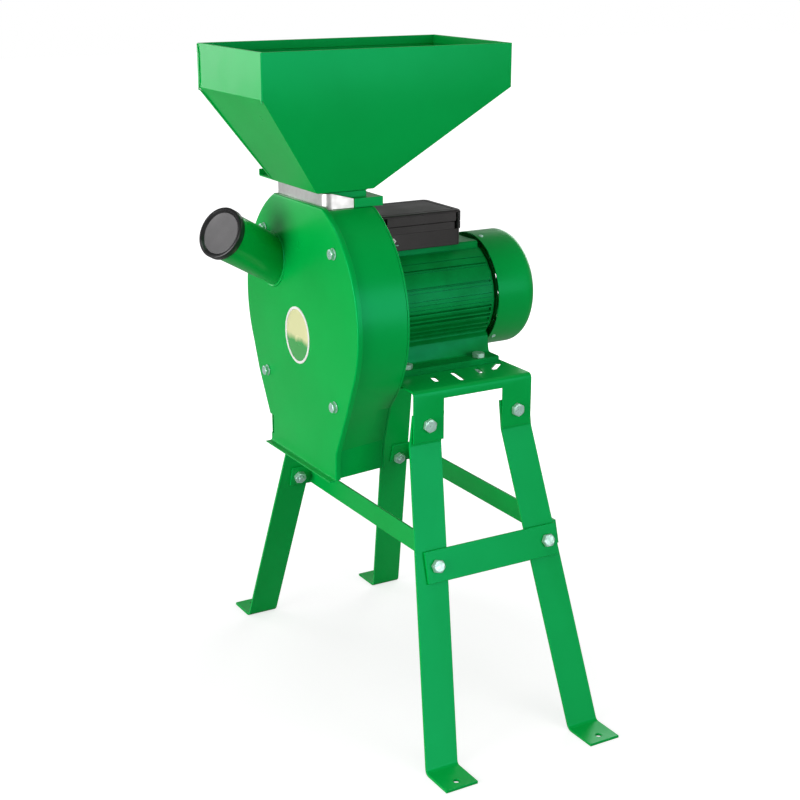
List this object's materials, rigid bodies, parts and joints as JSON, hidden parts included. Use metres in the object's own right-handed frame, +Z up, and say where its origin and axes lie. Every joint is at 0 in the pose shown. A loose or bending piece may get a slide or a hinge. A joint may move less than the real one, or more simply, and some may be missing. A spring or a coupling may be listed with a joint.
{
  "type": "hammer mill",
  "caption": "Upright hammer mill: sheet hopper over a round casing with inlet tube and chute, driven by a finned electric motor on a splayed bolted stand.",
  "frame": {"origin": "floor level under the middle of the machine's bounding box", "axes": "+Z up, +X along the motor shaft from the casing cover towards the fan cowl, +Y towards the side where the inlet tube sits"},
  "size_m": [0.4631, 0.676, 0.95],
  "materials": {
    "green_paint": "glossy green powder coat",
    "motor_paint": "green sprayed enamel over ribbed cast aluminium",
    "zinc": "bare galvanised sheet",
    "bolt_zinc": "bright zinc plated fasteners",
    "black_plastic": "moulded black plastic, fine grain",
    "plug_plastic": "black rim with a dull grey recessed face",
    "white_plastic": "moulded off-white plastic",
    "winding_iron": "laminated iron with varnished windings",
    "steel": "turned and ground steel"
  },
  "bodies": {
    "machine": {"back_plate": "green_paint", "brace_bolt_front_left": "bolt_zinc", "brace_bolt_front_right": "bolt_zinc", "brace_bolt_rear_left": "bolt_zinc", "brace_bolt_rear_right": "bolt_zinc", "cable_gland": "white_plastic", "capacitor": "white_plastic", "casing_shell": "green_paint", "cover": "green_paint", "cover_bolt_1": "bolt_zinc", "cover_bolt_2": "bolt_zinc", "cover_bolt_3": "bolt_zinc", "cover_bolt_4": "bolt_zinc", "cross_brace_front": "green_paint", "cross_brace_rear": "green_paint", "fan_cowl": "green_paint", "front_bearing": "steel", "front_shield": "motor_paint", "hopper": "green_paint", "inlet_tube": "green_paint", "leg_bolt_front_left": "bolt_zinc", "leg_bolt_front_right": "bolt_zinc", "leg_bolt_rear_left": "bolt_zinc", "leg_bolt_rear_right": "bolt_zinc", "leg_front_left": "green_paint", "leg_front_right": "green_paint", "leg_rear_left": "green_paint", "leg_rear_right": "green_paint", "motor_bolt_front_left": "bolt_zinc", "motor_bolt_front_right": "bolt_zinc", "motor_bolt_rear_left": "bolt_zinc", "motor_bolt_rear_right": "bolt_zinc", "motor_housing": "motor_paint", "neck_band": "zinc", "rear_bearing": "steel", "rear_shield": "motor_paint", "side_brace_left": "green_paint", "side_brace_right": "green_paint", "sieve": "zinc", "stator": "winding_iron", "table": "green_paint", "terminal_box_base": "black_plastic", "terminal_box_lid": "black_plastic", "throat_box": "green_paint"},
    "rotor": {"motor_shaft": "steel", "rotor_hub": "steel", "rotor_core": "winding_iron", "shaft_nut": "bolt_zinc", "cooling_fan": "black_plastic", "hammer_pin_1": "steel", "hammer_pin_2": "steel", "hammer_pin_3": "steel", "hammer_pin_4": "steel"},
    "gate": {"slide_gate": "green_paint"},
    "plug": {"tube_plug": "plug_plastic"},
    "hammer_1_body": {"hammer_1": "steel"},
    "hammer_2_body": {"hammer_2": "steel"},
    "hammer_3_body": {"hammer_3": "steel"},
    "hammer_4_body": {"hammer_4": "steel"}
  },
  "joints": [
    {"name": "rotor_spin", "type": "hinge", "parent": "machine", "child": "rotor", "pos_m": [-0.08792, 0, 0.591], "axis": [1, 0, 0], "continuous": true},
    {"name": "gate_slide", "type": "slide", "parent": "machine", "child": "gate", "axis": [0, 1, 0], "range_m": [0, 0.117]},
    {"name": "plug_pull", "type": "slide", "parent": "machine", "child": "plug", "axis": [-0.8222, -0.3372, 0.4587], "range_m": [0, 0.06]},
    {"name": "hammer_1_swing", "type": "hinge", "parent": "rotor", "child": "hammer_1_body", "pos_m": [-0.06867, 0.04384, 0.63484], "axis": [1, 0, 0], "range_deg": [-60, 60]},
    {"name": "hammer_2_swing", "type": "hinge", "parent": "rotor", "child": "hammer_2_body", "pos_m": [-0.06867, -0.04384, 0.63484], "axis": [1, 0, 0], "range_deg": [-60, 60]},
    {"name": "hammer_3_swing", "type": "hinge", "parent": "rotor", "child": "hammer_3_body", "pos_m": [-0.06867, -0.04384, 0.54716], "axis": [1, 0, 0], "range_deg": [-60, 60]},
    {"name": "hammer_4_swing", "type": "hinge", "parent": "rotor", "child": "hammer_4_body", "pos_m": [-0.06867, 0.04384, 0.54716], "axis": [1, 0, 0], "range_deg": [-60, 60]}
  ]
}
